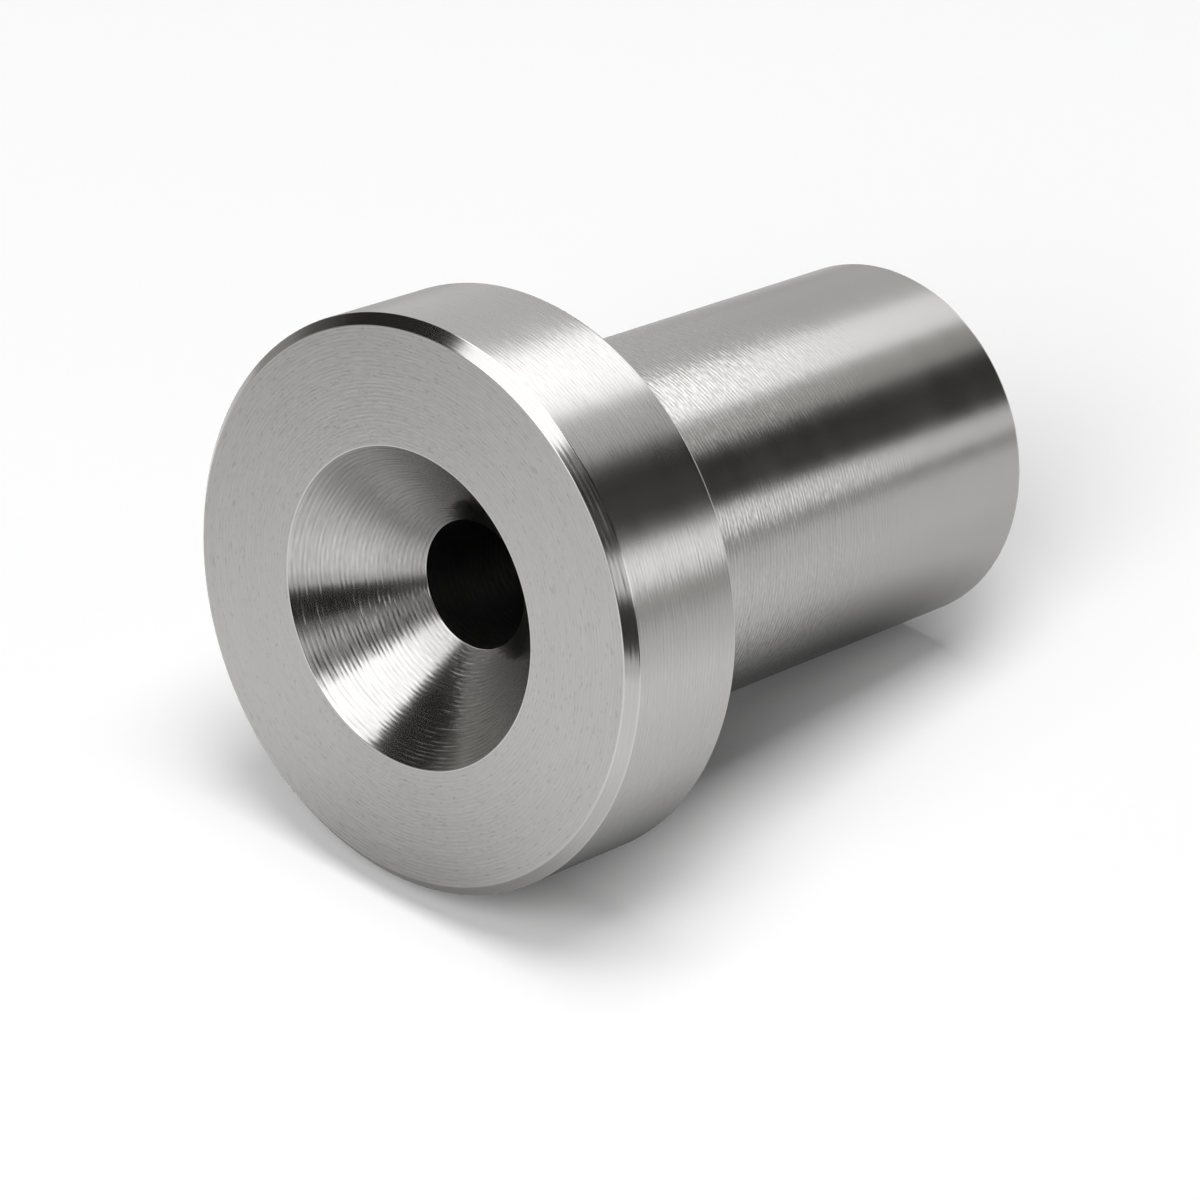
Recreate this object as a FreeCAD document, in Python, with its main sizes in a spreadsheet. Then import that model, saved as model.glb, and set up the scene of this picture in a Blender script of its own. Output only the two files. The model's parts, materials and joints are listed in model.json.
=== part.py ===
import FreeCAD, Part
import Sketcher
import os

# Sprue bushing, turned from one bar of tool steel. It stands on its tip, which is the end that meets
# the mould cavity, with the head up. The Z axis is the turning axis, the origin is the centre of the
# tip face, and every length is in millimetres.

# Driving sizes: cell name, value and what it sets.
SIZES = [
    ("overall_length", 47.5, "tip face to head face"),
    ("head_diameter", 38.0, "outside of the flanged head"),
    ("head_thickness", 9.8, "shoulder to head face"),
    ("head_chamfer", 0.7, "45 degree chamfer round the head face"),
    ("head_back_break", 0.2, "edge break round the back of the head"),
    ("shank_diameter", 25.0, "ground shank that sits in the mould plate"),
    ("neck_radius", 0.5, "inside corner between the shank and the shoulder"),
    ("tip_break", 0.2, "edge break round the tip"),
    ("seat_mouth_diameter", 21.2, "nozzle seat where it opens in the head face"),
    ("seat_angle", 90.0, "included angle of the nozzle seat, in degrees"),
    ("seat_rim_radius", 0.15, "rounded edge between the head face and the seat"),
    ("inlet_diameter", 8.5, "sprue bore where the seat runs into it"),
    ("inlet_lip_radius", 0.2, "rounded edge between the seat and the bore"),
    ("bore_taper", 1.0, "draft of the sprue bore on each side, in degrees"),
    ("exit_break", 0.1, "edge break where the bore opens in the tip face"),
]

# Radii and heights of the section, worked out from the sheet.
HEAD_RADIUS = "Sizes.head_diameter / 2"
SHANK_RADIUS = "Sizes.shank_diameter / 2"
MOUTH_RADIUS = "Sizes.seat_mouth_diameter / 2"
INLET_RADIUS = "Sizes.inlet_diameter / 2"
HEAD_FACE = "Sizes.overall_length"
SHOULDER = "Sizes.overall_length - Sizes.head_thickness"
SEAT_FLOOR = (
    "Sizes.overall_length"
    " - (Sizes.seat_mouth_diameter - Sizes.inlet_diameter) / 2 / tan(Sizes.seat_angle / 2)"
)
EXIT_RADIUS = f"{INLET_RADIUS} + ({SEAT_FLOOR}) * tan(Sizes.bore_taper)"
ON_AXIS = "0"
TIP_FACE = "0"

# How far a circle may lie from the place that is asked for and still be that edge.
EDGE_TOLERANCE = 1e-4


def make_sheet(doc):
    """Puts the driving sizes in a spreadsheet, one named cell each."""
    sheet = doc.addObject("Spreadsheet::Sheet", "Sizes")
    for row, (name, value, note) in enumerate(SIZES, start=1):
        sheet.set(f"A{row}", name)
        sheet.set(f"B{row}", str(value))
        sheet.set(f"C{row}", note)
        sheet.setAlias(f"B{row}", name)
    doc.recompute()
    return sheet


def draw_half_section(body, name, corners):
    """Draws a closed outline beside the turning axis. Each corner is a radius and a height from the sheet."""
    sketch = body.newObject("Sketcher::SketchObject", name)
    plane = next(f for f in body.Origin.OriginFeatures if f.Role == "XZ_Plane")
    sketch.AttachmentSupport = [(plane, "")]
    sketch.MapMode = "FlatFace"

    points = []
    for radius, height in corners:
        points.append(FreeCAD.Vector(sketch.evalExpression(radius), sketch.evalExpression(height), 0))
    count = len(points)
    for i in range(count):
        sketch.addGeometry(Part.LineSegment(points[i], points[(i + 1) % count]), False)
    for i in range(count):
        sketch.addConstraint(Sketcher.Constraint("Coincident", i, 2, (i + 1) % count, 1))

    for i, (radius, height) in enumerate(corners):
        previous_radius, previous_height = corners[i - 1]
        if radius == ON_AXIS:
            sketch.addConstraint(Sketcher.Constraint("PointOnObject", i, 1, -2))
        elif radius == previous_radius:
            sketch.addConstraint(Sketcher.Constraint("Vertical", i - 1))
        else:
            hold(sketch, "DistanceX", i, points[i].x, radius)
        if height == TIP_FACE:
            sketch.addConstraint(Sketcher.Constraint("PointOnObject", i, 1, -1))
        elif height == previous_height:
            sketch.addConstraint(Sketcher.Constraint("Horizontal", i - 1))
        else:
            hold(sketch, "DistanceY", i, points[i].y, height)
    return sketch


def hold(sketch, kind, corner, value, expression):
    """Dimensions one corner from the origin and binds the dimension to the sheet."""
    number = sketch.addConstraint(Sketcher.Constraint(kind, -1, 1, corner, 1, value))
    sketch.setExpression(f"Constraints[{number}]", expression)


def turn(body, kind, name, sketch):
    """Turns a half section once round the axis, to add metal or to cut it."""
    feature = body.newObject(kind, name)
    feature.Profile = (sketch, [""])
    feature.ReferenceAxis = (sketch, ["V_Axis"])
    feature.Angle = 360.0
    body.Document.recompute()
    return feature


def circle_edge(feature, radius, height):
    """Gives the name of the circular edge with this radius at this height."""
    for number, edge in enumerate(feature.Shape.Edges, start=1):
        curve = edge.Curve
        if not isinstance(curve, Part.Circle):
            continue
        if abs(curve.Radius - radius) < EDGE_TOLERANCE and abs(curve.Center.z - height) < EDGE_TOLERANCE:
            return f"Edge{number}"
    raise ValueError(f"no circular edge of radius {radius} at height {height}")


def dress_edge(body, kind, name, radius, height, size):
    """Chamfers or rounds one circular edge, which is found by its place in the section."""
    base = body.Tip
    edge = circle_edge(base, base.evalExpression(radius), base.evalExpression(height))
    feature = body.newObject(kind, name)
    feature.Base = (base, [edge])
    feature.setExpression("Radius" if kind == "PartDesign::Fillet" else "Size", f"Sizes.{size}")
    body.Document.recompute()
    return feature


def make_bushing(doc):
    """Turns the head and shank, bores the seat and the sprue, and breaks the edges."""
    body = doc.addObject("PartDesign::Body", "SprueBushing")
    body.Label = "sprue_bushing"

    blank = [
        (ON_AXIS, TIP_FACE),
        (SHANK_RADIUS, TIP_FACE),
        (SHANK_RADIUS, SHOULDER),
        (HEAD_RADIUS, SHOULDER),
        (HEAD_RADIUS, HEAD_FACE),
        (ON_AXIS, HEAD_FACE),
    ]
    turn(body, "PartDesign::Revolution", "Blank", draw_half_section(body, "BlankSection", blank))

    seat = [
        (ON_AXIS, SEAT_FLOOR),
        (INLET_RADIUS, SEAT_FLOOR),
        (MOUTH_RADIUS, HEAD_FACE),
        (ON_AXIS, HEAD_FACE),
    ]
    cut(body, "NozzleSeat", draw_half_section(body, "NozzleSeatSection", seat))

    bore = [
        (ON_AXIS, TIP_FACE),
        (EXIT_RADIUS, TIP_FACE),
        (INLET_RADIUS, SEAT_FLOOR),
        (ON_AXIS, SEAT_FLOOR),
    ]
    cut(body, "SprueBore", draw_half_section(body, "SprueBoreSection", bore))

    chamfer = "PartDesign::Chamfer"
    fillet = "PartDesign::Fillet"
    dress_edge(body, chamfer, "HeadChamfer", HEAD_RADIUS, HEAD_FACE, "head_chamfer")
    dress_edge(body, chamfer, "HeadBackBreak", HEAD_RADIUS, SHOULDER, "head_back_break")
    dress_edge(body, fillet, "NeckFillet", SHANK_RADIUS, SHOULDER, "neck_radius")
    dress_edge(body, chamfer, "TipBreak", SHANK_RADIUS, TIP_FACE, "tip_break")
    dress_edge(body, fillet, "SeatRim", MOUTH_RADIUS, HEAD_FACE, "seat_rim_radius")
    dress_edge(body, fillet, "InletLip", INLET_RADIUS, SEAT_FLOOR, "inlet_lip_radius")
    dress_edge(body, chamfer, "ExitBreak", EXIT_RADIUS, TIP_FACE, "exit_break")
    return body


def cut(body, name, sketch):
    """Turns a half section into a groove and makes sure that it removed metal."""
    before = body.Tip.Shape.Volume
    groove = turn(body, "PartDesign::Groove", name, sketch)
    if not groove.Shape.Volume < before:
        raise ValueError(f"{name} cut nothing")


def check(doc, bodies):
    """Stops if any object of the document failed or a body has no sound shape."""
    for thing in doc.Objects:
        if "Invalid" in thing.State or "Error" in thing.State:
            raise ValueError(f"{thing.Name} failed: {thing.State}")
    for body in bodies:
        if body.Shape.isNull() or not body.Shape.isValid():
            raise ValueError(f"{body.Label} has no valid shape")


def main():
    doc = FreeCAD.newDocument("SprueBushing")
    make_sheet(doc)
    bodies = [make_bushing(doc)]
    doc.recompute()
    check(doc, bodies)

    os.makedirs("parts", exist_ok=True)
    for body in bodies:
        body.Shape.exportStep(f"parts/{body.Label}.step")
        box = body.Shape.BoundBox
        print(body.Label, "volume", round(body.Shape.Volume, 2), "mm3, solids", len(body.Shape.Solids))
        print("box", [round(v, 4) for v in (box.XMin, box.YMin, box.ZMin, box.XMax, box.YMax, box.ZMax)])


main()
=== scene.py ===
import json
import math

import bpy
from mathutils import Matrix, Vector


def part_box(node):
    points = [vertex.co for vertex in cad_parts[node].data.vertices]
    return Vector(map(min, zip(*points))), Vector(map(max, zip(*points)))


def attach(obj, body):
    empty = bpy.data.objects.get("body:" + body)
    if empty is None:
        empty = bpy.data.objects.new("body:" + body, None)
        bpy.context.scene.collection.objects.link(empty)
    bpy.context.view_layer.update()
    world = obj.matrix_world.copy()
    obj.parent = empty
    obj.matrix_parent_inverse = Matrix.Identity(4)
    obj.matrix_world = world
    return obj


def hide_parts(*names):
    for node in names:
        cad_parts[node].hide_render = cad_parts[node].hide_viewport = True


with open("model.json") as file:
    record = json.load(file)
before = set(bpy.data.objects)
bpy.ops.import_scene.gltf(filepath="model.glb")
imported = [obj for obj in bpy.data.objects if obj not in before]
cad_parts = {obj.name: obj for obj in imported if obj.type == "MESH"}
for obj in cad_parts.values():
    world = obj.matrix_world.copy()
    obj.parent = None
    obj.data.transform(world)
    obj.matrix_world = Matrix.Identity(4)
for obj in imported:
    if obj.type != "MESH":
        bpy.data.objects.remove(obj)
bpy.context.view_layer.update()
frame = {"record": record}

# Sizes of the bushing in metres. The overall sizes and the seats come from the frame.
MM = 0.001
LOW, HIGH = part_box("sprue_bushing")
MOUNTS = {mount["name"]: mount for mount in frame["record"]["mounts"]}
LENGTH = HIGH[2] - LOW[2]
HEAD_RADIUS = (HIGH[0] - LOW[0]) / 2
SHANK_RADIUS = MOUNTS["shank"]["dims"]["r_mm"] * MM
SHOULDER_HEIGHT = MOUNTS["shoulder"]["pos_m"][2]

HEAD_CHAMFER = 0.7 * MM
SEAT_MOUTH_RADIUS = 10.6 * MM
SEAT_HALF_ANGLE = math.radians(45)
INLET_RADIUS = 4.25 * MM
BORE_TAPER = math.radians(1)
SEAT_FLOOR = LENGTH - (SEAT_MOUTH_RADIUS - INLET_RADIUS) / math.tan(SEAT_HALF_ANGLE)
EXIT_RADIUS = INLET_RADIUS + SEAT_FLOOR * math.tan(BORE_TAPER)

# Rounding of each turned edge.
EXIT_ROUND = 0.1 * MM
INLET_ROUND = 0.16 * MM
MOUTH_ROUND = 0.1 * MM
FACE_ROUND = 0.12 * MM
CHAMFER_ROUND = 0.12 * MM
BACK_ROUND = 0.25 * MM
NECK_ROUND = 0.5 * MM
TIP_ROUND = 0.3 * MM

# How finely the turn and the roundings are divided. HOLD is how far outside a rounding its extra points
# lie, and points closer than MERGE become one.
STEPS_ROUND = 360
ARC_STEPS = 5
HOLD = 0.02 * MM
MERGE = 0.001 * MM

# The photograph: a square of 1200 pixels, the head's face centre in it and the camera round the part.
PHOTO_SIDE = 1200
SENSOR = 36.0
FOCAL_PIXELS = 5035.5
HEAD_CENTRE_PIXEL = (406.2, 609.4)
CAMERA_DEPTH = 317.3 * MM
CAMERA_ELEVATION = math.radians(44.83)
CAMERA_ROLL = math.radians(-110.47)

# The bushing lies on the floor on the back rim of its head and the rim of its tip, on this side of it.
FLOOR_AZIMUTH = math.radians(-126.7)
FLOOR_SIZE = 6.0
FLOOR_PAINT = 0.86
FLOOR_GLOW = 0.06
SKY_GLOW = 0.06

# The softboxes stand this far off, and the panels stand round the part from below the floor to over it.
LAMP_DISTANCE = 2.4
PANEL_STEPS = 128
PANEL_RADIUS = 0.15
PANEL_LOW = -0.6
PANEL_HIGH = 0.34

# The colours of the steel on the faces and sides, in the seat, in the bore and on the rounded edges. The
# seat's steel is a little darker and the bore's much darker, as painted shade in these hollows, and the
# edges' steel is lighter, as a painted highlight along each edge.
STEEL = (0.508, 0.5, 0.49)
SEAT_SHADED_STEEL = (0.465, 0.46, 0.452)
BORE_SHADED_STEEL = (0.12, 0.118, 0.116)
EDGE_HIGHLIGHT_STEEL = (0.58, 0.575, 0.57)

# The marks that a turning tool leaves. A spacing is in distances between marks, and a count is how many
# follow each other in a radian. The grain and the nicks take their count from the finish's own marks.
SLOW_COUNT = 1.5
SLOW_SPACING = 6
MARK_DRIFT = 1.2
MARK_DEPTH = 0.5
DEPTH_SPACING = 0.9
DEPTH_CHANGE = 2.5
GRAIN_COUNT = 2
GRAIN_SPACING = 0.4
GRAIN_LEAN = 1.4
GRAIN_SHADE = 1.8
BAND_COUNT = 4.0
BAND_SPACING = 1.8
BAND_DETAIL = 1.0
NICK_COUNT = 3
NICK_SPACING = 0.5
NICK_START = 0.17
NICK_FULL = 0.27
PIT_SCALE = 3200.0
PIT_START = 0.2
PIT_FULL = 0.26
PIT_DARKNESS = 2
CLOUD_SCALE = 130.0
CLOUD_SHADE = 0.04
CLOUD_ROUGHNESS = 0.15
PATCH_ROUGHNESS = 0.2
DULL_ROUGHNESS = 2
STRETCH_TURN = 0.25


class Value:
    """A number that changes over a surface, written as ordinary maths."""

    def __init__(self, shader, socket):
        self.shader = shader
        self.socket = socket

    def math(self, operation, *others):
        return self.shader.node("Math", {"operation": operation}, dict(enumerate((self, *others))))

    def __add__(self, other):
        return self.math("ADD", other)

    def __sub__(self, other):
        return self.math("SUBTRACT", other)

    def __mul__(self, other):
        return self.math("MULTIPLY", other)

    def __truediv__(self, other):
        return self.math("DIVIDE", other)

    def __rsub__(self, other):
        return self.shader.node("Math", {"operation": "SUBTRACT"}, {0: other, 1: self})

    def __neg__(self):
        return 0.0 - self

    __radd__ = __add__
    __rmul__ = __mul__

    def vector(self, operation, *others):
        return self.shader.node("VectorMath", {"operation": operation}, dict(enumerate((self, *others))))

    def at(self, number):
        """Another output of the node that made this value."""
        return Value(self.shader, self.socket.node.outputs[number])

    def scaled(self, factor):
        return self.shader.node("VectorMath", {"operation": "SCALE"}, {0: self, "Scale": factor})

    def smooth(self, low, high, start=0.0, end=1.0):
        """Goes softly from start to end while this value goes from low to high."""
        settings = {"interpolation_type": "SMOOTHSTEP"}
        sockets = {"Value": self, "From Min": low, "From Max": high, "To Min": start, "To Max": end}
        return self.shader.node("MapRange", settings, sockets)


class Shader:
    """A material or world being built, one node at a time."""

    def __init__(self, owner):
        owner.use_nodes = True
        self.tree = owner.node_tree
        self.tree.nodes.clear()

    def node(self, kind, settings, sockets, output=0):
        """Adds a node, sets what it does, then fills its sockets with numbers or links."""
        made = self.tree.nodes.new("ShaderNode" + kind)
        for name, setting in settings.items():
            setattr(made, name, setting)
        for name, content in sockets.items():
            if isinstance(content, Value):
                self.tree.links.new(content.socket, made.inputs[name])
            else:
                made.inputs[name].default_value = content
        return Value(self, made.outputs[output]) if made.outputs else None

    def place(self):
        """The point on the object, then each of its three coordinates."""
        place = self.node("TexCoord", {}, {}, "Object")
        return [place] + [self.node("SeparateXYZ", {}, {0: place}, axis) for axis in range(3)]


def corner_points(before, corner, after, radius):
    """Rounds one corner of the section with an arc, and adds a point just outside each end of it."""
    to_before = (before - corner).normalized()
    to_after = (after - corner).normalized()
    half = to_before.angle(to_after) / 2
    setback = radius / math.tan(half)
    centre = corner + (to_before + to_after).normalized() * radius / math.sin(half)
    start = corner + to_before * setback - centre
    end = corner + to_after * setback - centre
    turn = start.angle_signed(end)
    points = [corner + to_before * (setback + HOLD)]
    for step in range(ARC_STEPS + 1):
        angle = turn * step / ARC_STEPS
        points.append(centre + Matrix.Rotation(-angle, 2) @ start)
    points.append(corner + to_after * (setback + HOLD))
    return points


def section_outline():
    """The half section as points (radius, height), with the finish of the edge that starts at each point."""
    chamfer_foot = HEAD_RADIUS - HEAD_CHAMFER
    corners = [
        (EXIT_RADIUS, 0, EXIT_ROUND, "bore"),
        (INLET_RADIUS, SEAT_FLOOR, INLET_ROUND, "seat"),
        (SEAT_MOUTH_RADIUS, LENGTH, MOUTH_ROUND, "face"),
        (chamfer_foot, LENGTH, FACE_ROUND, "chamfer"),
        (HEAD_RADIUS, LENGTH - HEAD_CHAMFER, CHAMFER_ROUND, "side"),
        (HEAD_RADIUS, SHOULDER_HEIGHT, BACK_ROUND, "face"),
        (SHANK_RADIUS, SHOULDER_HEIGHT, NECK_ROUND, "side"),
        (SHANK_RADIUS, 0, TIP_ROUND, "face"),
    ]
    outline = []
    for i, (radius, height, rounding, finish_after) in enumerate(corners):
        finish_round = "side" if rounding == NECK_ROUND else "edge"
        before = Vector(corners[i - 1][:2])
        after = Vector(corners[(i + 1) % len(corners)][:2])
        points = corner_points(before, Vector((radius, height)), after, rounding)
        outline += [(point, finish_round) for point in points[:-1]]
        outline.append((points[-1], finish_after))
    return outline


def section_mesh(outline, finishes):
    """A line mesh of the half section that carries each edge's finish as a number."""
    mesh = bpy.data.meshes.new("section")
    points = [(point.x, 0, point.y) for point, _ in outline]
    mesh.from_pydata(points, [(i, (i + 1) % len(points)) for i in range(len(points))], [])
    mark = mesh.attributes.new("finish", "INT", "POINT")
    mark.data.foreach_set("value", [finishes.index(finish) for _, finish in outline])
    return mesh


class Tree:
    """A Geometry Nodes tree being built, one node at a time."""

    def __init__(self, name):
        self.tree = bpy.data.node_groups.new(name, "GeometryNodeTree")
        self.tree.interface.new_socket("Geometry", in_out="INPUT", socket_type="NodeSocketGeometry")
        self.tree.interface.new_socket("Geometry", in_out="OUTPUT", socket_type="NodeSocketGeometry")

    def add_input(self, name, kind):
        return self.tree.interface.new_socket(name, in_out="INPUT", socket_type=kind).identifier

    def node(self, kind, settings, sockets, output=0):
        made = self.tree.nodes.new(kind)
        for name, setting in settings.items():
            setattr(made, name, setting)
        for name, content in sockets.items():
            if isinstance(content, bpy.types.NodeSocket):
                self.tree.links.new(content, made.inputs[name])
            else:
                made.inputs[name].default_value = content
        return made.outputs[output]

    def math(self, operation, *values):
        return self.node("ShaderNodeMath", {"operation": operation}, dict(enumerate(values)))


def turned_body(materials):
    """The tree that turns a half section round the Z axis and gives each stretch of it its material."""
    work = Tree("turned_body")
    steps_id = work.add_input("Steps Round", "NodeSocketInt")
    points_id = work.add_input("Points in Section", "NodeSocketInt")
    given = work.tree.nodes.new("NodeGroupInput")
    section, steps, points = given.outputs[0], given.outputs[1], given.outputs[2]

    sheet = work.node("GeometryNodeMeshGrid", {}, {
        "Size X": 1.0, "Size Y": 1.0,
        "Vertices X": work.math("ADD", steps, 1), "Vertices Y": work.math("ADD", points, 1),
    })
    place = work.node("GeometryNodeInputPosition", {}, {})
    across = work.node("ShaderNodeSeparateXYZ", {}, {0: place}, 0)
    along = work.node("ShaderNodeSeparateXYZ", {}, {0: place}, 1)
    row = work.math("MULTIPLY", work.math("ADD", along, 0.5), points)

    edge_row = work.math("FLOOR", row)
    finish_name = work.node("GeometryNodeInputNamedAttribute", {"data_type": "INT"}, {"Name": "finish"})
    finish = work.node("GeometryNodeSampleIndex", {"data_type": "INT", "domain": "POINT"}, {
        "Geometry": section, "Value": finish_name, "Index": edge_row,
    })
    body = work.node("GeometryNodeSetMaterial", {}, {"Geometry": sheet, "Material": materials[0]})
    for number, material in enumerate(materials[1:], start=1):
        chosen = work.node("FunctionNodeCompare", {"data_type": "INT", "operation": "EQUAL"}, {
            2: finish, 3: number,
        })
        body = work.node("GeometryNodeSetMaterial", {}, {
            "Geometry": body, "Selection": chosen, "Material": material,
        })

    point_row = work.math("FLOORED_MODULO", work.math("ROUND", row), points)
    corner = work.node("GeometryNodeSampleIndex", {"data_type": "FLOAT_VECTOR", "domain": "POINT"}, {
        "Geometry": section, "Value": place, "Index": point_row,
    })
    radius = work.node("ShaderNodeSeparateXYZ", {}, {0: corner}, 0)
    height = work.node("ShaderNodeSeparateXYZ", {}, {0: corner}, 2)
    angle = work.math("MULTIPLY", across, -2 * math.pi)
    turned = work.node("ShaderNodeCombineXYZ", {}, {
        0: work.math("MULTIPLY", radius, work.math("COSINE", angle)),
        1: work.math("MULTIPLY", radius, work.math("SINE", angle)),
        2: height,
    })
    body = work.node("GeometryNodeSetPosition", {}, {"Geometry": body, "Position": turned})
    body = work.node("GeometryNodeMergeByDistance", {}, {"Geometry": body, "Distance": MERGE})
    body = work.node("GeometryNodeSetShadeSmooth", {}, {"Geometry": body})
    body = work.node("GeometryNodeRealizeInstances", {}, {"Geometry": body})
    given_back = work.tree.nodes.new("NodeGroupOutput")
    work.tree.links.new(body, given_back.inputs[0])
    return work.tree, steps_id, points_id


def make_bushing(finishes):
    """Turns the bushing from its section and puts it in the CAD node's place."""
    outline = section_outline()
    names = list(finishes)
    blank = bpy.data.objects.new("section", section_mesh(outline, names))
    bpy.context.scene.collection.objects.link(blank)
    tree, steps_id, points_id = turned_body(list(finishes.values()))
    turning = blank.modifiers.new("turning", "NODES")
    turning.node_group = tree
    turning[steps_id] = STEPS_ROUND
    turning[points_id] = len(outline)

    depsgraph = bpy.context.evaluated_depsgraph_get()
    mesh = bpy.data.meshes.new_from_object(blank.evaluated_get(depsgraph), depsgraph=depsgraph)
    blank.modifiers.remove(turning)
    # The line mesh has no material of its own, so an empty slot can come first. It goes.
    if mesh.materials[0] is None:
        slots = [polygon.material_index - 1 for polygon in mesh.polygons]
        mesh.materials.pop(index=0)
        mesh.polygons.foreach_set("material_index", slots)
    bpy.data.objects.remove(blank)

    bushing = bpy.data.objects.new("turned_bushing", mesh)
    bpy.context.scene.collection.objects.link(bushing)
    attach(bushing, "root")
    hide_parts("sprue_bushing")


def turned_steel(name, colour, roughness, stretch, along, pitch, arc, sway, lean, shade, scars=0.0,
                 worn=lambda height: 1.0, dull_and_shade=lambda radius: 1.0):
    """Steel with fine marks round the turning axis.

    stretch draws its reflections out across the marks. along gives how far a mark lies along the section,
    from its radius and height. pitch is the distance between marks and arc how many of them follow each
    other in a radian. sway is how far a mark leans the surface round the axis, lean how far along the
    section, and shade how much it changes the colour. scars is how dark the nicks and pits are. worn gives
    the strength of the marks from the height, and dull_and_shade gives from the radius how rough the steel
    is and how dark, a darkening that is painted shade.
    """
    material = bpy.data.materials.new(name)
    shader = Shader(material)
    place, x, y, z = shader.place()
    radius = (x * x + y * y).math("SQRT")
    travel = along(radius, z)
    east = x / radius
    north = y / radius

    def streaks(count, spacing, detail=0.0):
        """Three independent values round zero, drawn out along circles about the axis."""
        spot = shader.node("CombineXYZ", {}, {0: east * count, 1: north * count, 2: travel / spacing})
        colours = shader.node("TexNoise", {"noise_dimensions": "3D"}, {
            "Vector": spot, "Scale": 1.0, "Detail": detail,
        }, 1)
        return [shader.node("SeparateColor", {}, {0: colours}, i) - 0.5 for i in range(3)]

    def blotches(scale):
        """One value round zero that changes evenly in all directions."""
        return shader.node("TexNoise", {"noise_dimensions": "3D"}, {
            "Vector": place, "Scale": scale, "Detail": 2.0,
        }, 0) - 0.5

    drift, patch, turn = streaks(SLOW_COUNT, pitch * SLOW_SPACING)
    depth = MARK_DEPTH + streaks(arc, pitch * DEPTH_SPACING)[0] * DEPTH_CHANGE
    grain = streaks(arc * GRAIN_COUNT, pitch * GRAIN_SPACING)[1]
    phase = (travel / pitch + drift * MARK_DRIFT) * (2 * math.pi)
    strength = worn(z)
    leaning = (phase.math("SINE") * depth + grain * GRAIN_LEAN) * strength
    toning = (phase.math("COSINE") * depth + grain * GRAIN_SHADE) * strength
    bands = streaks(BAND_COUNT, pitch * BAND_SPACING, BAND_DETAIL)[2] * strength
    cloud = blotches(CLOUD_SCALE)
    pits = blotches(PIT_SCALE).smooth(PIT_START, PIT_FULL)
    nicks = streaks(arc * NICK_COUNT, pitch * NICK_SPACING)[2].smooth(NICK_START, NICK_FULL)

    # Below 1 this darkens the colour as painted shade, and makes the steel rougher.
    polish_and_shade = dull_and_shade(radius)
    tone = 1.0 + (toning + bands) * shade + cloud * CLOUD_SHADE - (nicks + pits * PIT_DARKNESS) * scars
    tone = tone * polish_and_shade
    tint = shader.node("CombineColor", {}, {i: tone * share for i, share in enumerate(colour)})
    finish = roughness * (1.0 + patch * PATCH_ROUGHNESS + cloud * CLOUD_ROUGHNESS)
    finish = finish * (1.0 + (1.0 - polish_and_shade) * DULL_ROUGHNESS)

    normal = shader.node("NewGeometry", {}, {}, "Normal")
    circle = shader.node("CombineXYZ", {}, {0: -north, 1: east, 2: 0.0})
    circle = shader.node("VectorTransform", {
        "vector_type": "VECTOR", "convert_from": "OBJECT", "convert_to": "WORLD",
    }, {0: circle})
    section = normal.vector("CROSS_PRODUCT", circle)
    leaned = normal.vector("ADD", circle.scaled(turn * sway))
    leaned = leaned.vector("ADD", section.scaled(leaning * lean)).vector("NORMALIZE")
    surface = shader.node("BsdfPrincipled", {}, {
        "Base Color": tint,
        "Metallic": 1.0,
        "Roughness": finish,
        "Anisotropic": stretch,
        "Anisotropic Rotation": STRETCH_TURN,
        "Normal": leaned,
    })
    shader.node("OutputMaterial", {}, {"Surface": surface})
    return material


def make_finishes():
    """One material for each way that the bushing is machined."""
    def on_face(radius, height):
        return radius

    def on_side(radius, height):
        return height

    def on_seat(radius, height):
        return (radius + height) * math.sqrt(0.5)

    def on_chamfer(radius, height):
        return (radius - height) * math.sqrt(0.5)

    def worn(height):
        """The marks fade towards the tip, and are weaker on the head than on the shank."""
        on_shank = height.smooth(8 * MM, 28 * MM, 0.12, 1.3)
        return on_shank * height.smooth(SHOULDER_HEIGHT - 0.2 * MM, SHOULDER_HEIGHT + 0.3 * MM, 1.0, 0.45)

    def dull_and_shade(radius):
        """The seat is rougher towards the inlet, and darker there as painted shade deeper in the seat."""
        return radius.smooth(4 * MM, 8 * MM, 0.78, 1.03)

    return {
        "face": turned_steel(
            "faced_steel", STEEL, roughness=0.34, stretch=0.5, along=on_face, pitch=0.26 * MM, arc=9.0,
            sway=0.01, lean=0.05, shade=0.045, scars=0.14,
        ),
        "side": turned_steel(
            "turned_steel", STEEL, roughness=0.23, stretch=0.2, along=on_side, pitch=0.3 * MM, arc=14.0,
            sway=0.01, lean=0.08, shade=0.07, worn=worn,
        ),
        # The seat's steel is a little darker, painted shade in the hollow.
        "seat": turned_steel(
            "bored_steel_painted_shade", SEAT_SHADED_STEEL, roughness=0.16, stretch=0.0, along=on_seat, pitch=0.31 * MM, arc=6.0,
            sway=0.005, lean=0.05, shade=0.16, scars=0.02, dull_and_shade=dull_and_shade,
        ),
        "chamfer": turned_steel(
            "chamfer_steel", STEEL, roughness=0.16, stretch=0.5, along=on_chamfer, pitch=0.3 * MM, arc=8.0,
            sway=0.01, lean=0.03, shade=0.02,
        ),
        # The rounded edges take a lighter steel, a painted highlight along each edge.
        "edge": turned_steel(
            "edge_steel_painted_highlight", EDGE_HIGHLIGHT_STEEL, roughness=0.16, stretch=0.3, along=on_side, pitch=0.3 * MM, arc=8.0,
            sway=0.01, lean=0.01, shade=0.01,
        ),
        # The bore's steel is nearly black, painted shade inside the deep hole.
        "bore": turned_steel(
            "drilled_steel_painted_shade", BORE_SHADED_STEEL, roughness=0.4, stretch=0.5, along=on_side, pitch=0.5 * MM, arc=4.0,
            sway=0.05, lean=0.08, shade=0.1,
        ),
    }


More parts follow.
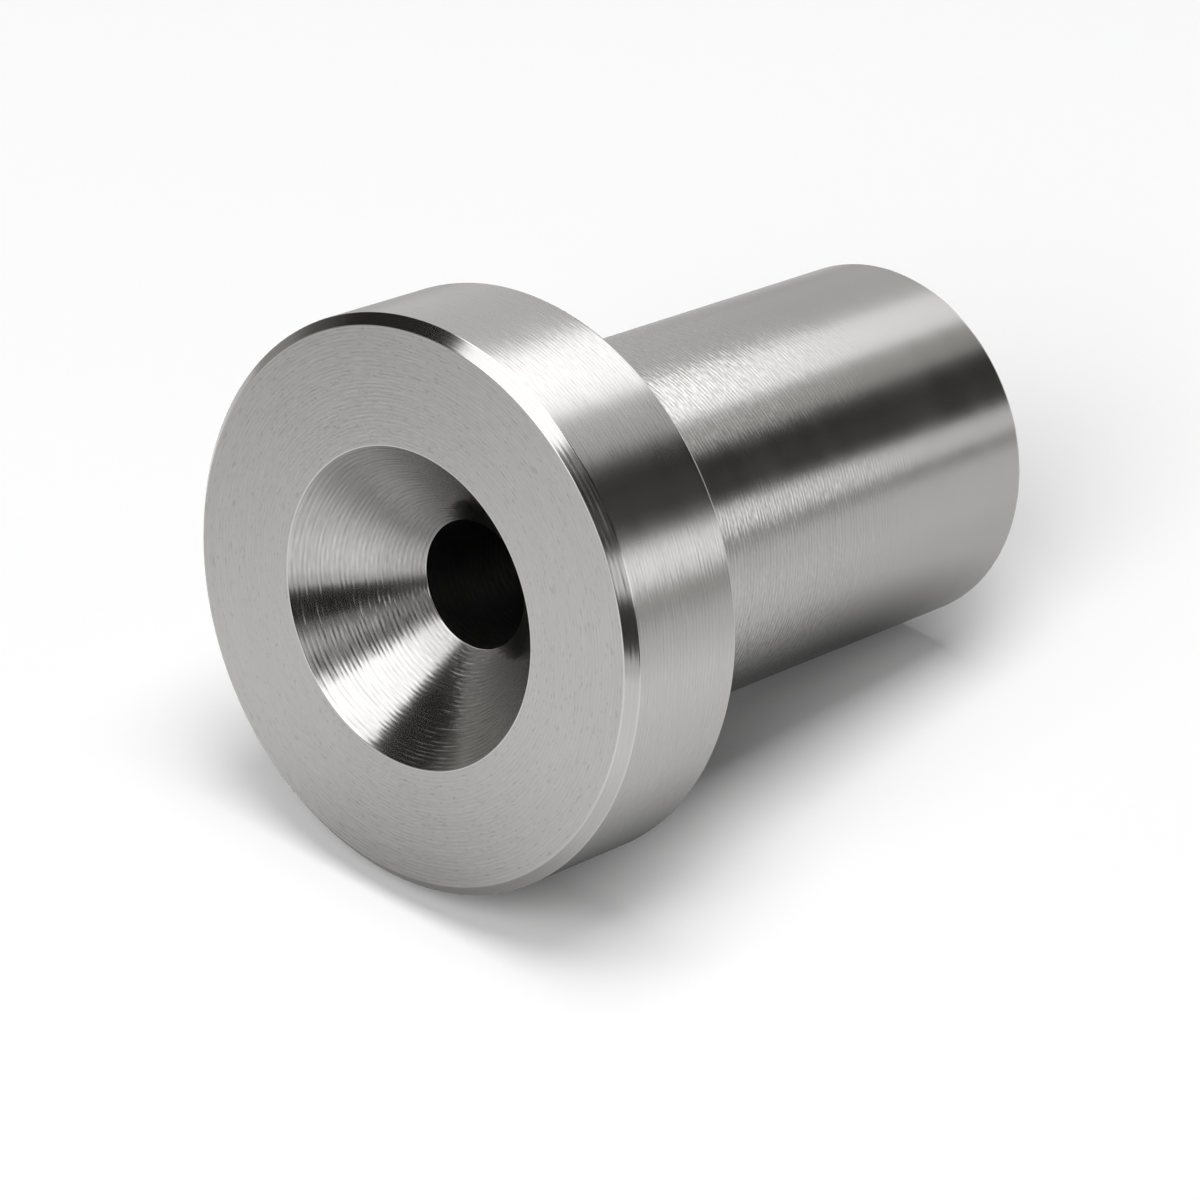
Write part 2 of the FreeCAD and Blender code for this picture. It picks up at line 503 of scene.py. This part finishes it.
def floor_normal():
    """Points up from the floor: the floor touches the head's back rim and the tip's rim on one side."""
    rise = HEAD_RADIUS - SHANK_RADIUS
    run = SHOULDER_HEIGHT
    flat = Vector((-math.sin(FLOOR_AZIMUTH), math.cos(FLOOR_AZIMUTH), 0))
    return (flat * run + Vector((0, 0, 1)) * rise).normalized()


def see_through_back(shader, front):
    """Shows a stage surface only from its front, so that it hides nothing in views from behind it."""
    behind = shader.node("NewGeometry", {}, {}, "Backfacing")
    camera = shader.node("LightPath", {}, {}, "Is Camera Ray")
    clear = shader.node("BsdfTransparent", {}, {})
    return shader.node("MixShader", {}, {0: behind * camera, 1: front, 2: clear})


def first_bounce(shader):
    """1 until the light's path has scattered off the floor, and 0 after that."""
    return shader.node("LightPath", {}, {}, "Diffuse Depth").math("LESS_THAN", 0.5)


def painted_floor_reflection(shader, touch_tip, touch_head, side):
    """How bright the floor is in reflections: a painted shadow, dark along the line that the bushing lies
    over, a little lighter just ahead of the head, and darker beyond the tip and on the far side.
    """
    contact = touch_head - touch_tip
    direction = tuple(contact.normalized())
    place = shader.place()[0].vector("SUBTRACT", tuple(touch_tip))
    along = place.vector("DOT_PRODUCT", direction).at(1)
    aside = place.vector("DOT_PRODUCT", tuple(side)).at(1)

    # The painted shadow's dark line runs from a quarter of the way along the contact to the head.
    dark_start = contact.length * 0.25
    dark_along = along.math("MAXIMUM", dark_start).math("MINIMUM", contact.length)
    nearest = shader.node("VectorMath", {"operation": "SCALE"}, {0: direction, "Scale": dark_along})
    gap = place.vector("DISTANCE", nearest).at(1)
    level = gap.smooth(7 * MM, 26 * MM, 0.07, 0.75) + gap.smooth(16 * MM, 50 * MM, 0.0, 0.25)
    ahead_of_head = (along - contact.length).smooth(6 * MM, 8 * MM, 0.0, 0.16)
    beyond_tip = along.smooth(-30 * MM, 20 * MM, 0.76, 1.0)
    far_side = aside.smooth(-100 * MM, -20 * MM, 0.68, 1.0)
    return (level + ahead_of_head * gap.smooth(10 * MM, 20 * MM, 1.0, 0.0)) * beyond_tip * far_side


def make_floor():
    """A pale floor under the lying bushing. It is white to the camera and keeps the shadow. In reflections
    it shows a painted shadow instead of its lit look.
    """
    normal = floor_normal()
    flat = Vector((normal.x, normal.y, 0)).normalized()
    touch_tip = Vector((0, 0, TIP_ROUND)) - flat * SHANK_RADIUS
    touch_head = Vector((0, 0, SHOULDER_HEIGHT)) - flat * HEAD_RADIUS
    side = normal.cross(Vector((0, 0, 1))).normalized() * (FLOOR_SIZE / 2)
    run = side.cross(normal)
    corners = [touch_tip + side * a + run * b for a, b in ((-1, -1), (1, -1), (1, 1), (-1, 1))]
    mesh = bpy.data.meshes.new("floor")
    mesh.from_pydata([tuple(corner) for corner in corners], [], [(0, 1, 2, 3)])
    if mesh.polygons[0].normal.dot(normal) < 0:
        mesh.flip_normals()
    floor = bpy.data.objects.new("floor", mesh)
    bpy.context.scene.collection.objects.link(floor)

    material = bpy.data.materials.new("pale_floor")
    shader = Shader(material)
    camera = shader.node("LightPath", {}, {}, "Is Camera Ray")
    mirrored = shader.node("LightPath", {}, {}, "Is Glossy Ray")
    paint = shader.node("BsdfDiffuse", {}, {"Color": (FLOOR_PAINT, FLOOR_PAINT, FLOOR_PAINT, 1.0)})
    glow = shader.node("Emission", {}, {"Strength": camera * FLOOR_GLOW})
    lit = shader.node("AddShader", {}, {0: paint, 1: glow})
    level = painted_floor_reflection(shader, touch_tip, touch_head, side.normalized())
    # In reflections the floor is a glow that carries the painted shadow.
    painted_reflection = shader.node("Emission", {}, {"Strength": level})
    front = shader.node("MixShader", {}, {0: mirrored, 1: lit, 2: painted_reflection})
    shader.node("OutputMaterial", {}, {"Surface": see_through_back(shader, front)})
    mesh.materials.append(material)


def panel_brightness(shader):
    """How bright the panels are at each height and azimuth, in degrees round from the camera's side."""
    x, y, z = shader.place()[1:]
    azimuth = x.math("ARCTAN2", -y) * (180 / math.pi)
    middle = z.smooth(-30 * MM, 40 * MM)
    high = (z + (azimuth - 107) * (2.3 * MM)).smooth(119 * MM, 143 * MM)
    top = z.smooth(180 * MM, 192 * MM)

    def tiers(low_value, middle_value, high_value, top_value):
        """A brightness or an azimuth at four heights, from below the head to above the camera."""
        value = low_value + (middle_value - low_value) * middle
        value = value + (high_value - middle_value) * high
        return value + (top_value - high_value) * top

    def panel(level, start, stop, shade, soft):
        """Paints one panel between two azimuths, over what is there. soft is half of its edge's width."""
        begun = azimuth.smooth(start - soft, start + soft)
        not_ended = azimuth.smooth(stop - soft, stop + soft, 1.0, 0.0)
        return level + (shade - level) * (begun * not_ended)

    # Towards the foot the panels are dimmer and turned a little.
    fade = z.smooth(-150 * MM, -88 * MM, 0.54, 1.02)
    light_fade = z.smooth(-150 * MM, -88 * MM, 0.8, 1.02)
    shift = z.smooth(-150 * MM, -85 * MM, 5.5, 0.0)
    wall_fade = fade * z.smooth(-85 * MM, -55 * MM, 1.0, 0.62)
    glare = z.smooth(180 * MM, 250 * MM, 0.2, 1.85)

    low_dark_start = tiers(-47 - shift, -44, -44, -44)
    low_dark_stop = tiers(-22, -22, -22, -15)
    low_light_start = tiers(-23, -23, -23, -17)
    grey_start = 26 + shift
    grey_stop = 45 + shift
    main_light_start = tiers(46 + shift, 35, 35, 33)
    main_light_stop = 80.5 + middle * 1.5 - z.smooth(200 * MM, 250 * MM) * 8

    back_wall = tiers(0.76 * wall_fade, 0.32, 0.3, 0.5)
    floor_wall = 0.76 * fade
    low_dark = tiers(0.38 * fade, 0.05, 0.05, 0.02)
    low_light = tiers(1.55 * fade, 1.15, 1.15, 0.2 * glare)
    front_dark = tiers(0.02, 0.02, 0.02, 0.45 * glare)
    front_dim = tiers(0.02, 0.02, 0.02, 0.3 * glare)
    front_grey = tiers(0.73 * fade, 0.15, 0.15, 1.2 * glare)
    main_light = tiers(2.15 * fade, 2.0, 2.0, 2.4)
    upper_grey = tiers(0.74 * light_fade, 0.03, 0.5, 0.5)
    upper_edge = tiers(0.75 * light_fade, 0.11, 0.4, 0.4)

    level = panel(back_wall, -180, low_dark_start + 1, floor_wall, soft=3)
    level = panel(level, low_dark_start, low_dark_stop, low_dark, soft=2)
    level = panel(level, low_light_start, -6.5, low_light, soft=3)
    level = panel(level, -7.5, 9, front_dark, soft=3)
    level = panel(level, 8, grey_start, front_dim, soft=3)
    level = panel(level, grey_start, grey_stop, front_grey, soft=3)
    level = panel(level, main_light_start, main_light_stop, main_light, soft=2)
    level = panel(level, main_light_stop + 2, 127, upper_grey, soft=3)
    level = panel(level, 122, 134, upper_edge, soft=6)

    # Below the floor all the panels are bright.
    return level + (1.5 - level) * z.smooth(-460 * MM, -320 * MM, 1.0, 0.0)


def make_panels():
    """Upright panels round the part, light and dark, that only its reflections show."""
    points = []
    for height in (PANEL_LOW, PANEL_HIGH):
        for i in range(PANEL_STEPS):
            angle = 2 * math.pi * i / PANEL_STEPS
            points.append((PANEL_RADIUS * math.cos(angle), PANEL_RADIUS * math.sin(angle), height))
    faces = []
    for i in range(PANEL_STEPS):
        following = (i + 1) % PANEL_STEPS
        faces.append((i, following, PANEL_STEPS + following, PANEL_STEPS + i))
    mesh = bpy.data.meshes.new("panels")
    mesh.from_pydata(points, [], faces)
    panels = bpy.data.objects.new("panels", mesh)
    bpy.context.scene.collection.objects.link(panels)

    material = bpy.data.materials.new("studio_panels")
    shader = Shader(material)
    level = panel_brightness(shader)
    # A darker panel is a little warmer.
    warmth = level.smooth(0.0, 1.0, 0.9, 1.0)
    colour = shader.node("CombineColor", {}, {0: 1.0, 1: warmth * 0.5 + 0.5, 2: warmth})
    after_scattering = 0.2
    strength = level * (after_scattering + first_bounce(shader) * (1 - after_scattering))
    glow = shader.node("Emission", {}, {"Color": colour, "Strength": strength})
    shader.node("OutputMaterial", {}, {"Surface": glow})
    mesh.materials.append(material)
    material.cycles.emission_sampling = "NONE"
    panels.visible_camera = False
    panels.visible_diffuse = False
    panels.visible_shadow = False


def make_world():
    """White behind everything, and a soft even light from all round."""
    world = bpy.data.worlds.new("studio")
    bpy.context.scene.world = world
    shader = Shader(world)
    camera = shader.node("LightPath", {}, {}, "Is Camera Ray")
    glossy = shader.node("LightPath", {}, {}, "Is Glossy Ray")
    through = shader.node("LightPath", {}, {}, "Is Transmission Ray")
    seen = camera.math("MAXIMUM", glossy).math("MAXIMUM", through) * first_bounce(shader)
    strength = SKY_GLOW + seen * (1 - SKY_GLOW)
    sky = shader.node("Background", {}, {"Color": (1.0, 1.0, 1.0, 1.0), "Strength": strength})
    shader.node("OutputWorld", {}, {"Surface": sky})


def make_lamp(name, power, size, direction):
    """A square softbox that faces the part from this direction. Only the floor is lit by it."""
    lamp = bpy.data.lights.new(name, "AREA")
    lamp.shape = "SQUARE"
    lamp.size = size
    lamp.energy = power
    holder = bpy.data.objects.new(name, lamp)
    bpy.context.scene.collection.objects.link(holder)
    holder.visible_glossy = False
    holder.location = direction.normalized() * LAMP_DISTANCE
    holder.rotation_euler = direction.to_track_quat("Z", "Y").to_euler()


def camera_axes():
    """The camera's right, up and backward directions round the standing part."""
    back = Vector((0, -math.cos(CAMERA_ELEVATION), math.sin(CAMERA_ELEVATION)))
    level_right = Vector((1, 0, 0))
    level_up = back.cross(level_right)
    right = level_right * math.cos(CAMERA_ROLL) + level_up * math.sin(CAMERA_ROLL)
    return right, back.cross(right), back


def make_lamps():
    """A softbox overhead and one in front on the left, seen as the photograph lies."""
    up = floor_normal()
    back = camera_axes()[2]
    front = (back - up * back.dot(up)).normalized()
    right = up.cross(front)
    make_lamp("overhead", power=39.6, size=1.4, direction=up + right * 0.06 + front * 0.13)
    make_lamp("front", power=40.7, size=1.5, direction=up - right * 0.52 + front * 1.1)


def make_camera():
    """Looks at the standing part as the photograph does at the lying one."""
    right, up, back = camera_axes()
    data = bpy.data.cameras.new("camera")
    data.sensor_width = SENSOR
    data.lens = SENSOR * FOCAL_PIXELS / PHOTO_SIDE
    data.clip_start = 0.01
    data.clip_end = 20.0
    camera = bpy.data.objects.new("camera", data)
    bpy.context.scene.collection.objects.link(camera)
    shift_right = (HEAD_CENTRE_PIXEL[0] - PHOTO_SIDE / 2) / FOCAL_PIXELS * CAMERA_DEPTH
    shift_down = (HEAD_CENTRE_PIXEL[1] - PHOTO_SIDE / 2) / FOCAL_PIXELS * CAMERA_DEPTH
    head_centre = Vector((0, 0, LENGTH))
    place = head_centre + back * CAMERA_DEPTH - right * shift_right + up * shift_down
    camera.matrix_world = Matrix.Translation(place) @ Matrix((right, up, back)).transposed().to_4x4()
    bpy.context.scene.camera = camera


make_camera()
make_bushing(make_finishes())
make_floor()
make_panels()
make_world()
make_lamps()
bpy.context.scene.view_settings.view_transform = "Standard"
